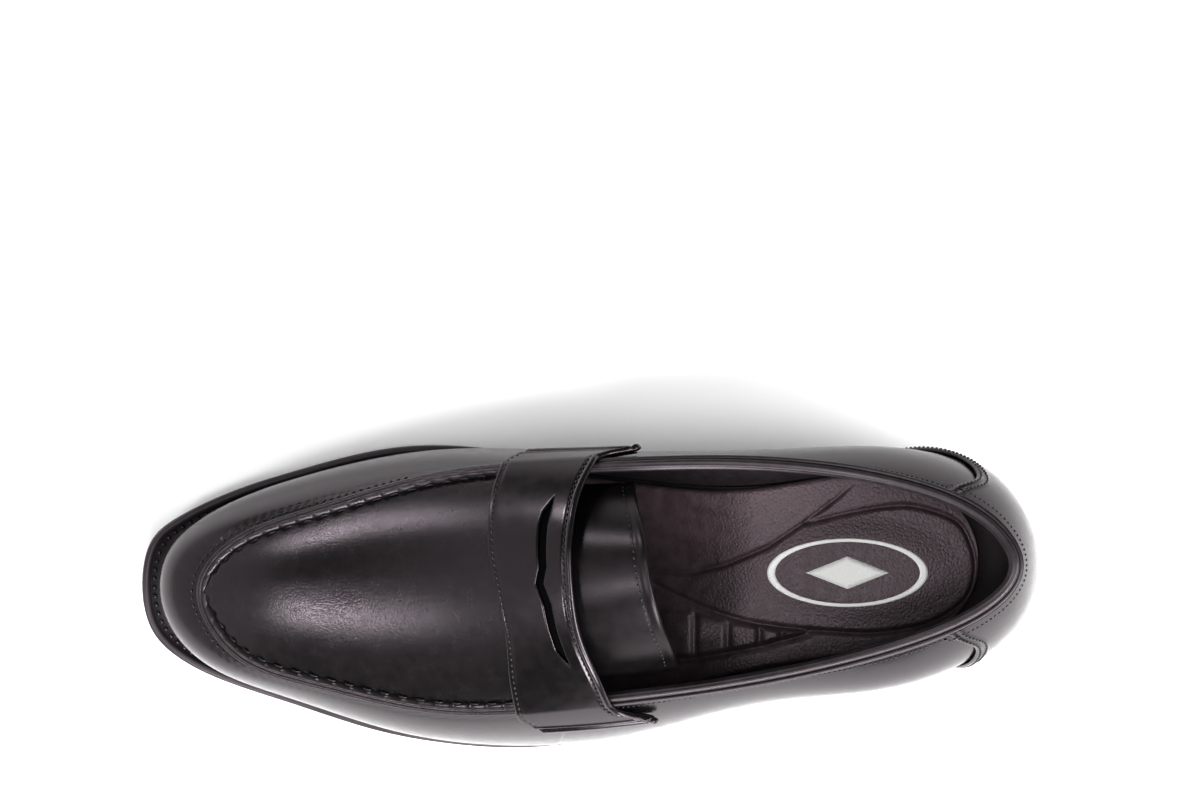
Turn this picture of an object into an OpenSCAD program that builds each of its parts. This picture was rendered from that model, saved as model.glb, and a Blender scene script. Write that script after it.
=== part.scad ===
// Penny loafer, left foot: leather upper on a lasted bottom with a low stacked heel.
// Millimetres. +Z is up, the toe points to -Y, the inner (medial) side of the foot is -X,
// and the origin is on the ground under the middle of the shoe.

/* [Shoe] */
// Overall length from the welt's toe to the back of the heel
shoe_length = 300; // [280:1:320]
// Width of the outsole across the ball
ball_width = 104; // [98:1:110]

/* [Sole] */
// Height of the heel under the seat
heel_height = 24; // [18:1:30]
// Rise of the outsole at the tip of the toe
toe_spring = 11; // [6:1:14]
// Thickness of the outsole under the forepart
outsole_thick = 5.2; // [4:0.2:7]
// Thickness of the welt on top of the outsole
welt_thick = 3.8; // [3:0.2:5]
// Thickness of the heel's rubber top lift
top_lift_thick = 6; // [4:0.5:8]

/* [Upper] */
// Thickness of the outer leather
leather_thick = 1.4; // [1:0.1:1.6]
// Thickness of the lining leather
lining_thick = 0.8; // [0.6:0.1:1]
// Height of the apron seam at the toe
toe_height = 46; // [42:1:50]
// Height of the topline at the back of the heel
back_height = 88; // [82:1:94]
// Height of the instep ridge under the middle of the strap
instep_height = 92; // [86:1:96]

/* [Strap] */
// Length of the slot across the strap
slot_length = 52; // [40:1:56]
// Width of the slot
slot_width = 2.2; // [1.6:0.1:3]

/* [Hidden] */

// Plan curves are worked out for a 300 mm shoe with a 104 mm ball, then scaled.
kl = shoe_length / 300;
kw = ball_width / 104;
// Knots of every table stand this many degrees apart round the shoe.
knot_step = 22.5;

// A plan curve runs round the shoe by angle: 0 at the toe, 180 at the heel, lateral side
// positive. It holds [toe y, heel y, toe x, heel x, lateral half-widths, medial half-widths].
SOLE = [-150, 144, -3.3, -12,
    [85, 65, 57, 60.8, 59.5, 44, 48, 65, 76], [85, 57, 49, 48, 38, 34, 49, 67, 76]];
FEATHER = [-141.5, 142, -3.3, -12,
    [63, 59, 53, 56.8, 55, 42, 46, 63, 74], [63, 51, 46, 44.5, 36, 32, 47, 65, 74]];
BULGE = [-143, 148.6, -3.3, -12,
    [65, 61, 55, 58.8, 57, 47.5, 56, 66, 77], [65, 53, 48, 46.5, 41.5, 43.8, 56, 71, 77]];
TOP = [-127, 140, -2, -13,
    [40, 50, 44.5, 45, 39.5, 37.5, 36.5, 37, 38], [40, 40, 36.5, 39, 38, 39.5, 41, 42, 38]];

// Height of the apron seam and topline, of the ridge over the instep, and the share of
// the wall's height at which it turns inward, at the same knots.
TOP_Z = [toe_height, toe_height + 1.5, 51.5, 58, 73, 73.5, 76, back_height - 5, back_height];
RIDGE_Z = [toe_height, toe_height + 4, 59, 72, instep_height + 1, instep_height + 14];
TURN = [0.75, 0.7, 0.64, 0.6, 0.55, 0.55, 0.55, 0.52, 0.5];

// Ground contact runs between these two stations, and the seat starts at the third.
spring_y = -75 * kl;
arch_y = -25 * kl;
seat_y = 60 * kl;
welt_end_y = 35 * kl;
seat_thick = 6;

// Parts that touch are kept this far apart, and thread stands this far off its leather.
touch = 0.05;
thread_off = 0.45;
thread_radius = 0.35;
// Layers lie at these distances outside the outer leather's face.
stiff_out = -leather_thick - 0.1;
stiff_in = -leather_thick - 1;
lining_out = -leather_thick - 1.1;
lining_in = lining_out - lining_thick;
patch_in = 0.4;
patch_out = 1.6;
strap_gap = 0.35;
strap_mid = strap_gap + 0.45;
strap_in = strap_mid + 0.2;
strap_out = strap_in + leather_thick;
// Sheets on one surface share these steps, by angle and by share of height, and so nest.
wall_step = 3.6;
height_step = 0.12;
strap_step = 1 / 12;

// Layers under the foot, and the gap below each of them.
board_thick = 2;
footbed_thick = 2.9;
badge_thick = 0.4;
board_gap = 0.3;
seat_top = heel_height + seat_thick + board_gap + board_thick + touch + footbed_thick;

// Five nails, each at its place in plan, run up through the heel block into the seat.
NAILS = [[-11, 88], [-29, 94], [6, 94], [-24.5, 120], [1.5, 120]];
nail_radius = 1;
nail_cover = 4;
nail_length = heel_height + seat_thick - top_lift_thick - nail_cover - 4 * touch;

// The steel shank lies let into the sole from the waist to the seat.
shank_front = -8;
shank_rear = 80;
shank_half = 7;
shank_thick = 1.6;
shank_cover = 0.2;
shank_play = 0.15;

// The apron's edge stands this far inside its seam, and the walls stop this far below it.
seam_gap = 1.9;
wall_top = 0.955;
collar_top = 0.965;
// Angle of the side seam between vamp and quarters, hidden under the strap.
side_seam = 86;
piping_end = 73.5;
apron_end = 82;
// Crown of the instep: where its ridge lies across the shoe, and how square it is.
ridge_at = -0.15;
crown_power = 2.2;

// The strap's edges, by angle, at even steps from its medial end to its lateral end.
STRAP_FRONT = [80.5, 77, 74.6, 74.3, 75.5, 76.8, 77.3, 78.7, 82.5];
STRAP_REAR = [96, 91, 87.4, 86.2, 86.3, 87.3, 89.8, 92.6, 98];
// Share of the strap's half-length that lies on the crown, and how high its ends stop.
crown_share = 0.66;
strap_end = 0.8;

// Height up the wall of the stitch row under the topline.
topline_row = 0.93;

// The tongue's front and rear edges, by angle, from its medial to its lateral side. Its
// front edge is the crease it bends at, hidden under the strap.
TONGUE_HINGE = [88.2, 84.6, 84.1, 86.2, 90];
TONGUE_REAR = [94.6, 95.5, 96.3, 98.3, 100.8];
tongue_drop = 4;
tongue_inset_medial = 4.2;
tongue_inset_lateral = 4.8;
tongue_under = -2.6;
tongue_gap = 0.8;

// The counter patch's front edges, by angle, at even steps up the wall.
COUNTER_LATERAL = [142, 147, 149.5, 151, 146.5];
COUNTER_MEDIAL = [132, 139, 148, 151.5, 146.5];

function lerp(a, b, t) = a + (b - a) * t;
function smooth(t) = let (s = max(0, min(1, t))) s * s * (3 - 2 * s);
function reflect(k, n) = k < 0 ? -k : k > n - 1 ? 2 * (n - 1) - k : k;

// Smooth curve through a table's values, at a place counted in steps of the table.
function spline(table, s) =
    let (n = len(table), i = max(0, min(floor(s), n - 2)), t = s - i,
        a = table[reflect(i - 1, n)], b = table[i], c = table[i + 1],
        d = table[reflect(i + 2, n)])
    (2 * b + (c - a) * t + (2 * a - 5 * b + 4 * c - d) * t * t
        + (3 * b - a - 3 * c + d) * t * t * t) / 2;
function across(table, t) = spline(table, (t + 1) / 2 * (len(table) - 1));
function upward(table, v) = spline(table, v * (len(table) - 1));
function round_shoe(table, phi) = spline(table, abs(phi) / knot_step);
function wrap(phi) = phi > 180 ? phi - 360 : phi;

function plan(curve, phi) =
    let (a = abs(phi), side = phi < 0 ? -1 : 1)
    [kw * (lerp(curve[2], curve[3], (1 - cos(a)) / 2)
            + side * round_shoe(curve[side > 0 ? 4 : 5], a) * sin(a)),
        kl * ((curve[0] + curve[1]) / 2 - (curve[1] - curve[0]) / 2 * cos(a))];
function shrink(curve, d) =
    [curve[0] + d, curve[1] - d, curve[2], curve[3],
        [for (w = curve[4]) w - d], [for (w = curve[5]) w - d]];
// Angle at which a curve reaches a station along the shoe.
function angle_at(curve, y) =
    acos(((curve[0] + curve[1]) / 2 - y / kl) / ((curve[1] - curve[0]) / 2));

function sole_bottom(y) =
    y < spring_y ? toe_spring * pow((y - spring_y) / (-shoe_length / 2 - spring_y), 2)
    : heel_height * smooth((y - arch_y) / (seat_y - arch_y));
function outsole_top(y) =
    sole_bottom(y) + lerp(outsole_thick, seat_thick, smooth((y - arch_y) / (welt_end_y - arch_y)));
function sole_top(y) =
    outsole_top(y) + welt_thick * (1 - smooth((y - arch_y) / (welt_end_y - arch_y)));

// A point on the upper's wall: v is 0 at the sole and 1 at the apron seam or topline.
function wall(phi_in, v) =
    let (phi = wrap(phi_in), f = plan(FEATHER, phi), b = plan(BULGE, phi), t = plan(TOP, phi),
        along = plan(BULGE, wrap(phi_in + 1)) - plan(BULGE, wrap(phi_in - 1)),
        out = [along[1], -along[0]] / norm(along),
        m = b + out * sqrt(max(0, ((b - f) * out) * ((b - t) * out))),
        zf = sole_top(f[1]), zt = round_shoe(TOP_Z, phi),
        zm = lerp(zf, zt, round_shoe(TURN, phi)))
    [each (1 - v) * (1 - v) * f + 2 * v * (1 - v) * m + v * v * t,
        (1 - v) * (1 - v) * zf + 2 * v * (1 - v) * zm + v * v * zt];

// A point on the crowned top between two sides: t is -1 at the medial edge, 1 at the lateral.
function crowned(lateral, medial, edge_z, ridge_z, t) =
    let (s = t < ridge_at ? (ridge_at - t) / (1 + ridge_at) : (t - ridge_at) / (1 - ridge_at))
    [each lerp(medial, lateral, (t + 1) / 2),
        lerp(edge_z, ridge_z, 1 - pow(min(1, s), crown_power))];
function apron_at(curve, phi, t) =
    crowned(plan(curve, phi), plan(curve, -phi), round_shoe(TOP_Z, phi),
        round_shoe(RIDGE_Z, phi), t);
function strap_at(b, s) =
    let (phi = lerp(across(STRAP_FRONT, b), across(STRAP_REAR, b), s),
        down = max(0, abs(b) - crown_share) / (1 - crown_share))
    abs(b) <= crown_share ? apron_at(TOP, phi, b / crown_share)
        : wall(sign(b) * phi, 1 - down * (1 - strap_end));
function tongue_at(t, phi) =
    crowned(plan(TOP, phi) - [tongue_inset_lateral, 0], plan(TOP, -phi) + [tongue_inset_medial, 0],
        round_shoe(TOP_Z, phi) - tongue_drop, round_shoe(RIDGE_Z, phi), t);

// A point at a distance outside a surface f(u, v).
function offset_at(f, u, v, d) =
    let (e = 0.004, n = cross(f(u + e, v) - f(u - e, v), f(u, v + e) - f(u, v - e)))
    f(u, v) + d * n / norm(n);
function steps(a, b, n) = [for (i = [0:n]) lerp(a, b, i / n)];
// Whole multiples of a step between two ends, and the ends themselves.
function stations(a, b, step) =
    [a, for (k = [ceil(a / step + 0.05):floor(b / step - 0.05)]) k * step, b];
function joined(lists) = [for (l = lists) each l];
function lifted(curve, phi, z) = [each plan(curve, phi), z];

// A closed sheet between two distances outside a surface, over a grid of (u, v).
module sheet(f, us, vs, d_in, d_out) {
    nu = len(us);
    nv = len(vs);
    outer = [for (u = us) for (v = vs) offset_at(f, u, v, d_out)];
    inner = [for (u = us) for (v = vs) offset_at(f, u, v, d_in)];
    n = nu * nv;
    rim = concat([for (i = [0:nu - 1]) i * nv], [for (j = [1:nv - 1]) (nu - 1) * nv + j],
        [for (i = [nu - 2:-1:0]) i * nv + nv - 1], [for (j = [nv - 2:-1:1]) j]);
    m = len(rim);
    faces = joined([for (i = [0:nu - 2]) for (j = [0:nv - 2])
        let (a = i * nv + j, b = a + nv, c = b + 1, d = a + 1)
        [[a, c, b], [a, d, c], [n + a, n + b, n + c], [n + a, n + c, n + d]]]);
    sides = joined([for (k = [0:m - 1]) let (a = rim[k], b = rim[(k + 1) % m])
        [[a, b, n + b], [a, n + b, n + a]]]);
    polyhedron(points = concat(outer, inner), faces = concat(faces, sides));
}

// A closed solid through a row of rings, each listed anticlockwise seen from the row's start.
module loft(rings) {
    n = len(rings);
    m = len(rings[0]);
    walls = joined([for (i = [0:n - 2]) for (k = [0:m - 1])
        let (a = i * m + k, b = i * m + (k + 1) % m)
        [[a, b + m, b], [a, a + m, b + m]]]);
    caps = joined([for (k = [1:m - 2])
        [[0, k, k + 1], [(n - 1) * m, (n - 1) * m + k + 1, (n - 1) * m + k]]]);
    polyhedron(points = joined(rings), faces = concat(walls, caps));
}

// A slab across the shoe between two heights, inside a plan curve.
module slab(curve, from, to, n, z_low, z_high) {
    loft([for (phi = steps(from, to, n))
        let (l = plan(curve, phi), r = plan(curve, -phi))
        [[l[0], l[1], z_low(l[1])], [r[0], r[1], z_low(r[1])],
            [r[0], r[1], z_high(r[1])], [l[0], l[1], z_high(l[1])]]]);
}

// A round tube along a list of points that runs anticlockwise round the shoe.
module tube(path, r, sides) {
    n = len(path);
    loft([for (i = [0:n - 1])
        let (ahead = path[min(i + 1, n - 1)] - path[max(i - 1, 0)],
            out = cross(ahead, [0, 0, 1]), up = cross(out, ahead))
        [for (k = [0:sides - 1])
            path[i] + r * (cos(360 * k / sides) * out / norm(out)
                - sin(360 * k / sides) * up / norm(up))]]);
}

// One stitch: a short six-sided rod from a to b.
module stitch(a, b, r = thread_radius) {
    d = b - a;
    translate(a)
        rotate([0, acos(d[2] / norm(d)), atan2(d[1], d[0])])
            cylinder(h = norm(d), r = r, $fn = 6);
}

// A row of stitches along path(s), for s from 0 to 1.
module stitch_row(path, n, share = 0.62, r = thread_radius) {
    for (i = [0:n - 1])
        stitch(path(i / n), path((i + share) / n), r);
}

module outsole() {
    color("#17171a")
        difference() {
            slab(SOLE, 2.5, 177.5, 46, function (y) sole_bottom(y), function (y) outsole_top(y));
            shank_shape(shank_play, shank_cover + touch);
            nail_rods(touch);
        }
}

// The shank, grown by some play on every side and by more than that upward for its recess.
module shank_shape(play, rise) {
    half = shank_half + play;
    loft([for (y = steps(shank_front - play, shank_rear + play, 12))
        let (x = lerp(-0.5, -10.5, (y - shank_front) / (shank_rear - shank_front)),
            top = sole_top(y * kl) - shank_cover,
            low = top - shank_thick - play)
        [[x + half, y * kl, low], [x - half, y * kl, low], [x - half, y * kl, top + rise],
            [x + half, y * kl, top + rise]]]);
}

module shank() {
    color("#8d9196")
        shank_shape(0, 0);
}

// The welt is one strip round the forepart, from waist to waist.
module welt() {
    inner = shrink(FEATHER, 6);
    end = angle_at(SOLE, welt_end_y - 11 * kl);
    color("#1b1b1e")
        loft([for (phi = steps(-end, end, 56))
            let (o = plan(SOLE, phi), i = plan(inner, phi))
            [[i[0], i[1], outsole_top(i[1]) + touch], [i[0], i[1], sole_top(i[1])],
                [o[0], o[1], sole_top(o[1])], [o[0], o[1], outsole_top(o[1]) + touch]]]);
}

module welt_stitches() {
    line = shrink(SOLE, 1.6);
    end = angle_at(SOLE, -30 * kl);
    path = function (s)
        let (p = plan(line, lerp(-end, end, s))) [p[0], p[1], sole_top(p[1]) + thread_off];
    color("#2a2a2d")
        stitch_row(path, 64);
}

// The heel's plan, cut straight across at the breast.
module heel_plan(inset) {
    curve = shrink(SOLE, inset);
    breast = angle_at(curve, seat_y + 2);
    polygon([for (phi = steps(breast, 360 - breast, 28)) plan(curve, wrap(phi))]);
}

module heel_block() {
    color("#151517")
        difference() {
            translate([0, 0, top_lift_thick + touch])
                linear_extrude(height = heel_height - top_lift_thick - 2 * touch)
                    heel_plan(1);
            nail_rods(touch);
        }
}

module heel_top_lift() {
    color("#0f0f10")
        linear_extrude(height = top_lift_thick)
            heel_plan(1.2);
}

// The nails' own shape, grown on every side.
module nail_rods(play) {
    for (p = NAILS)
        translate([kw * p[0], kl * p[1], top_lift_thick + nail_cover - play])
            cylinder(h = nail_length + 2 * play, r = nail_radius + play, $fn = 24);
}

module heel_nails() {
    color("#9a9a9a")
        nail_rods(0);
}

module cork_filler() {
    color("#a9834f")
        slab(shrink(FEATHER, 7), 6, angle_at(FEATHER, -22 * kl), 16,
            function (y) outsole_top(y) + touch, function (y) sole_top(y));
}

module insole_board() {
    color("#b98d5c")
        slab(shrink(FEATHER, 4.2), 4, 176, 36,
            function (y) sole_top(y) + board_gap,
            function (y) sole_top(y) + board_gap + board_thick);
}

module footbed() {
    color("#2e211f")
        slab(shrink(FEATHER, 4), 4, 176, 36,
            function (y) sole_top(y) + board_gap + board_thick + touch,
            function (y) sole_top(y) + board_gap + board_thick + touch + footbed_thick);
}

// A plain oval badge on the seat of the footbed, framed by a ring.
module footbed_badge() {
    color("#d8d4cc")
        translate([kw * -8, kl * 89, seat_top + touch])
            linear_extrude(height = badge_thick) {
                difference() {
                    scale([1, 1.7])
                        circle(r = 13, $fn = 64);
                    scale([1, 1.7])
                        circle(r = 11.8, $fn = 64);
                }
                scale([1, 2.1])
                    circle(r = 7, $fn = 4);
            }
}

// A layer of the wall between two angles and two shares of its height.
module wall_sheet(from, to, low, high, d_in, d_out) {
    sheet(function (u, v) wall(u, v), stations(from, to, wall_step),
        stations(low, high, height_step), d_in, d_out);
}

module vamp() {
    color("#1a1819")
        wall_sheet(-side_seam, side_seam, 0, wall_top, -leather_thick, 0);
}

module apron() {
    line = shrink(TOP, seam_gap);
    color("#1e1c1d")
        sheet(function (t, phi) apron_at(line, phi, t), steps(-1, 1, 12),
            steps(3, apron_end, 17), -leather_thick, 0);
}

module apron_piping() {
    color("#232122")
        tube([for (phi = steps(-piping_end, piping_end, 52))
            lifted(TOP, phi, round_shoe(TOP_Z, phi) - 0.3)], 1.3, 8);
}

// The row runs just inside the piping, on the apron's own surface.
module apron_stitches() {
    edge = shrink(TOP, seam_gap);
    row = shrink(TOP, seam_gap + 1.5);
    path = function (s)
        let (p = plan(row, lerp(-piping_end, piping_end, s)), phi = angle_at(edge, p[1]),
            l = plan(edge, phi), m = plan(edge, -phi),
            t = 2 * (p[0] - m[0]) / (l[0] - m[0]) - 1)
        offset_at(function (u, a) apron_at(edge, a, u), t, phi, thread_off + 0.15);
    color("#0c0c0c")
        stitch_row(path, 50);
}

module lateral_quarter() {
    color("#191819")
        wall_sheet(side_seam + 0.3, 179.7, 0, collar_top, -leather_thick, 0);
}

module medial_quarter() {
    color("#191819")
        wall_sheet(180.3, 359.7 - side_seam, 0, collar_top, -leather_thick, 0);
}

// Angle from the heel's middle to the patch's front edge; u is negative on the lateral side.
function patch_reach(u, v) = 180 - upward(u < 0 ? COUNTER_LATERAL : COUNTER_MEDIAL, v);

module counter_patch() {
    color("#1c1a1b")
        sheet(function (u, v) wall(180 + u * patch_reach(u, v), v), steps(-1, 1, 20),
            steps(0.012, collar_top, 10), patch_in, patch_out);
}

module counter_stitches() {
    for (side = [-1, 1])
        for (back = [0.95, 0.91]) {
            path = function (s)
                let (v = lerp(0.3, 0.89, s))
                offset_at(function (u, w) wall(u, w), 180 + side * back * patch_reach(side, v), v,
                    patch_out + thread_off + touch);
            color("#0b0b0b")
                stitch_row(path, 20);
        }
}

module topline_binding() {
    color("#222021")
        tube([for (phi = steps(side_seam + 3, 357 - side_seam, 56))
            offset_at(function (u, v) wall(u, v), phi, 1, -1.6) + [0, 0, 0.1]], 1.75, 8);
}

// The row steps up onto the counter patch as it passes round the heel.
module topline_stitches() {
    path = function (s)
        let (phi = lerp(side_seam + 8, 352 - side_seam, s),
            reach = patch_reach(phi - 180, topline_row),
            up = smooth((reach - abs(phi - 180)) / 1.5 + 1.5))
        offset_at(function (u, v) wall(u, v), phi, topline_row, thread_off + patch_out * up);
    color("#0b0b0b")
        stitch_row(path, 84);
}

module collar_foam() {
    color("#d8cfa8")
        wall_sheet(92, 268, 0.74, 0.95, stiff_in, stiff_out);
}

module heel_stiffener() {
    color("#c9b79a")
        wall_sheet(120, 240, 0.04, 0.72, stiff_in, stiff_out);
}

module toe_puff() {
    color("#cfc4ad")
        wall_sheet(-40, 40, 0.04, 0.94, stiff_in, stiff_out);
}

module vamp_lining() {
    color("#33262a")
        wall_sheet(-side_seam, side_seam, 0.01, 0.94, lining_in, lining_out);
}

module apron_lining() {
    line = shrink(TOP, seam_gap + 1.5);
    color("#33262a")
        sheet(function (t, phi) apron_at(line, phi, t), steps(-1, 1, 10),
            steps(5, apron_end - 6, 14), lining_in, lining_out);
}

module quarter_lining() {
    color("#33262a")
        wall_sheet(side_seam + 0.3, 359.7 - side_seam, 0.01, collar_top - 0.01, lining_in,
            lining_out);
}

// The slot's outline: a narrow bent opening with a small point on its front edge.
module slot_plan() {
    k = slot_length / 52;
    w = slot_width;
    translate([-7.5, -12.2 * kl])
        scale([k, 1])
            polygon([[-26.4, 3.3], [-22.2, 0], [-17.9, -0.8], [-4.7, -1.1], [1.1, -1.9],
                [2.6, -0.6], [11.5, 1.5], [20.7, 3.4], [24.3, 5.2], [25.9, 8.3], [22.1, 4.7 + w],
                [14.8, 2.1 + w], [3.4, -0.7 + w], [-4.7, -1.1 + w], [-17.9, -1.1 + w],
                [-22.2, 0.2 + w]]);
}

module strap_sheet(d_in, d_out, margin) {
    sheet(function (b, s) strap_at(b, s), stations(-1 + margin, 1 - margin, strap_step),
        stations(margin, 1 - margin, 1 / 7), d_in, d_out);
}

module strap() {
    color("#181617")
        difference() {
            strap_sheet(strap_in, strap_out, 0);
            translate([0, 0, instep_height - 30])
                linear_extrude(height = 60)
                    slot_plan();
        }
}

module strap_lining() {
    color("#2b2526")
        strap_sheet(strap_gap, strap_mid, 0.03);
}

module strap_stitches() {
    front = function (s)
        offset_at(function (b, w) strap_at(b, w), lerp(-0.93, 0.93, s), 0.06,
            strap_out + thread_off + touch);
    rear = function (s)
        offset_at(function (b, w) strap_at(b, w), lerp(-0.93, 0.93, s), 0.93,
            strap_out + thread_off + touch);
    color("#0b0b0b") {
        stitch_row(front, 44);
        stitch_row(rear, 50);
    }
}

// The tongue's part ahead of the strap's rear edge, sewn under the apron.
module tongue_base() {
    color("#1a1819")
        sheet(function (t, s)
                tongue_at(t, lerp(apron_end - 1.5, across(TONGUE_HINGE, t) - tongue_gap, s)),
            steps(-1, 1, 12), steps(0, 1, 3), tongue_under - leather_thick, tongue_under);
}

module tongue_flap(d_in, d_out, margin) {
    sheet(function (t, s)
            tongue_at(t, lerp(across(TONGUE_HINGE, t), across(TONGUE_REAR, t), s)),
        stations(-1 + margin, 1 - margin, 1 / 7), stations(margin, 1 - margin, 1 / 5), d_in, d_out);
}

module tongue() {
    color("#1a1819")
        tongue_flap(tongue_under - leather_thick, tongue_under, 0);
}

module tongue_lining() {
    color("#33262a")
        tongue_flap(tongue_under - leather_thick - 2 * touch - lining_thick,
            tongue_under - leather_thick - 2 * touch, 0.03);
}

module tongue_stitches() {
    path = function (s)
        let (t = lerp(-0.9, 0.9, s))
        offset_at(function (a, phi) tongue_at(a, phi), t, across(TONGUE_REAR, t) - 1.6,
            tongue_under + thread_off + touch);
    color("#0b0b0b")
        stitch_row(path, 26);
}

outsole();
welt();
welt_stitches();
heel_block();
heel_top_lift();
heel_nails();
shank();
cork_filler();
insole_board();
footbed();
footbed_badge();
vamp();
apron();
apron_piping();
apron_stitches();
lateral_quarter();
medial_quarter();
counter_patch();
counter_stitches();
topline_binding();
topline_stitches();
collar_foam();
toe_puff();
heel_stiffener();
vamp_lining();
apron_lining();
quarter_lining();
strap();
strap_lining();
strap_stitches();
tongue_base();
tongue();
tongue_lining();
tongue_stitches();
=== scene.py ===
"""Looks of a penny loafer, left foot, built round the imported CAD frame."""
import math

import bmesh
import bpy
import numpy as np
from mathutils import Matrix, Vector


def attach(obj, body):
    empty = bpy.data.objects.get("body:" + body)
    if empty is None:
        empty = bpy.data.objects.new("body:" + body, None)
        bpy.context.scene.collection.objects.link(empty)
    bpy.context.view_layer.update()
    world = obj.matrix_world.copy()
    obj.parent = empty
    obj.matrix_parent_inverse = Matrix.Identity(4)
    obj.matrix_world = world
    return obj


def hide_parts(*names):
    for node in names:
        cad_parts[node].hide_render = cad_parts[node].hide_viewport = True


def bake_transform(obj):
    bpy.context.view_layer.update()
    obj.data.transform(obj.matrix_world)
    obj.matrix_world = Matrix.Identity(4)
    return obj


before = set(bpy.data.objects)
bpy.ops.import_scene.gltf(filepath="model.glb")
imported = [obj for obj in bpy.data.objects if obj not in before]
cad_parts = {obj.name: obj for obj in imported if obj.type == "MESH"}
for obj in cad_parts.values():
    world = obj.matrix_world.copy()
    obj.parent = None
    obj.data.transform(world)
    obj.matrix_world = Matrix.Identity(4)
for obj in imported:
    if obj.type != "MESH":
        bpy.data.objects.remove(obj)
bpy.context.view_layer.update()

MM = 0.001
BODY = "shoe"

# ---------------------------------------------------------------- the shoe's own form
# The same tables as in the CAD source: millimetres, one value each KNOT degrees round
# the shoe, from the toe (0) to the heel (180), the outer side positive. A plan curve is
# (toe y, heel y, middle x at the toe, middle x at the heel, outer half widths, inner ones).
KNOT = 22.5
SOLE = (-150, 144, -3.3, -12,
        (85, 65, 57, 60.8, 59.5, 44, 48, 65, 76), (85, 57, 49, 48, 38, 34, 49, 67, 76))
FEATHER = (-141.5, 142, -3.3, -12,
           (63, 59, 53, 56.8, 55, 42, 46, 63, 74), (63, 51, 46, 44.5, 36, 32, 47, 65, 74))
BULGE = (-143, 148.6, -3.3, -12,
         (65, 61, 55, 58.8, 57, 47.5, 56, 66, 77), (65, 53, 48, 46.5, 41.5, 43.8, 56, 71, 77))
TOP = (-127, 140, -2, -13,
       (40, 50, 44.5, 45, 39.5, 37.5, 36.5, 37, 38), (40, 40, 36.5, 39, 38, 39.5, 41, 42, 38))
TOP_Z = (46, 47.5, 51.5, 58, 73, 73.5, 76, 83, 88)
RIDGE_Z = (46, 50, 59, 72, 93, 106, 106, 106, 106)
# Height of the point that the wall's curve bends round, as a share of the wall's height.
TURN = (0.75, 0.7, 0.64, 0.6, 0.55, 0.55, 0.55, 0.52, 0.5)
TOE_SPRING = 11
HEEL_HEIGHT = 24
OUTSOLE_THICK = 5.2
SEAT_THICK = 6
WELT_THICK = 3.8
SPRING_Y, ARCH_Y, SEAT_Y, WELT_END_Y = -75, -25, 60, 35
HALF_LENGTH = 150
RIDGE_AT = -0.15      # the instep ridge's place across the shoe, from -1 (inner) to 1 (outer)
CROWN_POWER = 2.2
# Degrees round the shoe, from the inner end to the outer end.
STRAP_FRONT = (80.5, 77, 74.6, 74.3, 75.5, 76.8, 77.3, 78.7, 82.5)
STRAP_REAR = (96, 91, 87.4, 86.2, 86.3, 87.3, 89.8, 92.6, 98)
CROWN_SHARE = 0.66    # the part of the strap's length that lies on top of the shoe
STRAP_END = 0.8
STRAP_LIFT = 1.0
STRAP_THICK = 1.4
TONGUE_REAR = (94.6, 95.5, 96.3, 98.3, 100.8)
TONGUE_FRONT = 80
TONGUE_UNDER = -2.6   # the tongue's top face, below the apron's surface
TONGUE_THICK = 2.2
# Degrees round the shoe, from the sole up.
COUNTER_LATERAL = (142, 147, 149.5, 151, 146.5)
COUNTER_MEDIAL = (132, 139, 148, 151.5, 146.5)
SIDE_SEAM = 86        # degrees round the shoe

FINE = np.linspace(0, 180, 721)
FINE_STEP = 0.25
BLUR = 3.2            # degrees
BLUR_REACH = 60       # fine steps


def lerp(a, b, t):
    return a + (b - a) * t


def smooth(t):
    t = np.clip(t, 0, 1)
    return t * t * (3 - 2 * t)


def spline(table, s):
    """Catmull-Rom through a table, at a place counted in steps of the table."""
    table = np.asarray(table, float)
    n = len(table)
    i = np.clip(np.floor(s).astype(int), 0, n - 2)
    t = s - i

    def at(k):
        k = np.abs(k)
        return table[np.where(k > n - 1, 2 * (n - 1) - k, k)]

    a, b, c, d = at(i - 1), at(i), at(i + 1), at(i + 2)
    return (2 * b + (c - a) * t + (2 * a - 5 * b + 4 * c - d) * t * t
            + (3 * b - a - 3 * c + d) * t ** 3) / 2


def faired(table):
    """The table's curve at fine steps, with its small kinks blurred away."""
    fine = spline(table, FINE / KNOT)
    reach = np.arange(-BLUR_REACH, BLUR_REACH + 1)
    weight = np.exp(-0.5 * (reach * FINE_STEP / BLUR) ** 2)
    padded = np.pad(fine, BLUR_REACH, mode="reflect")
    return np.convolve(padded, weight / weight.sum(), mode="valid")


FAIR = {}


def round_shoe(table, phi):
    if table not in FAIR:
        FAIR[table] = faired(table)
    return np.interp(np.abs(phi), FINE, FAIR[table])


def across(table, t):
    return spline(table, (np.asarray(t, float) + 1) / 2 * (len(table) - 1))


def upward(table, v):
    return spline(table, np.asarray(v, float) * (len(table) - 1))


def wrap(phi):
    return np.where(phi > 180, phi - 360, phi)


def plan(curve, phi):
    """Point of a plan curve at an angle round the shoe."""
    a = np.radians(np.abs(phi))
    half = np.where(phi < 0, -round_shoe(curve[5], phi), round_shoe(curve[4], phi))
    x = lerp(curve[2], curve[3], (1 - np.cos(a)) / 2) + half * np.sin(a)
    y = (curve[0] + curve[1]) / 2 - (curve[1] - curve[0]) / 2 * np.cos(a)
    return np.stack([x, y], -1)


def shrink(curve, d):
    return (curve[0] + d, curve[1] - d, curve[2], curve[3],
            tuple(w - d for w in curve[4]), tuple(w - d for w in curve[5]))


def angle_at(curve, y):
    return math.degrees(math.acos(((curve[0] + curve[1]) / 2 - y) / ((curve[1] - curve[0]) / 2)))


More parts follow.
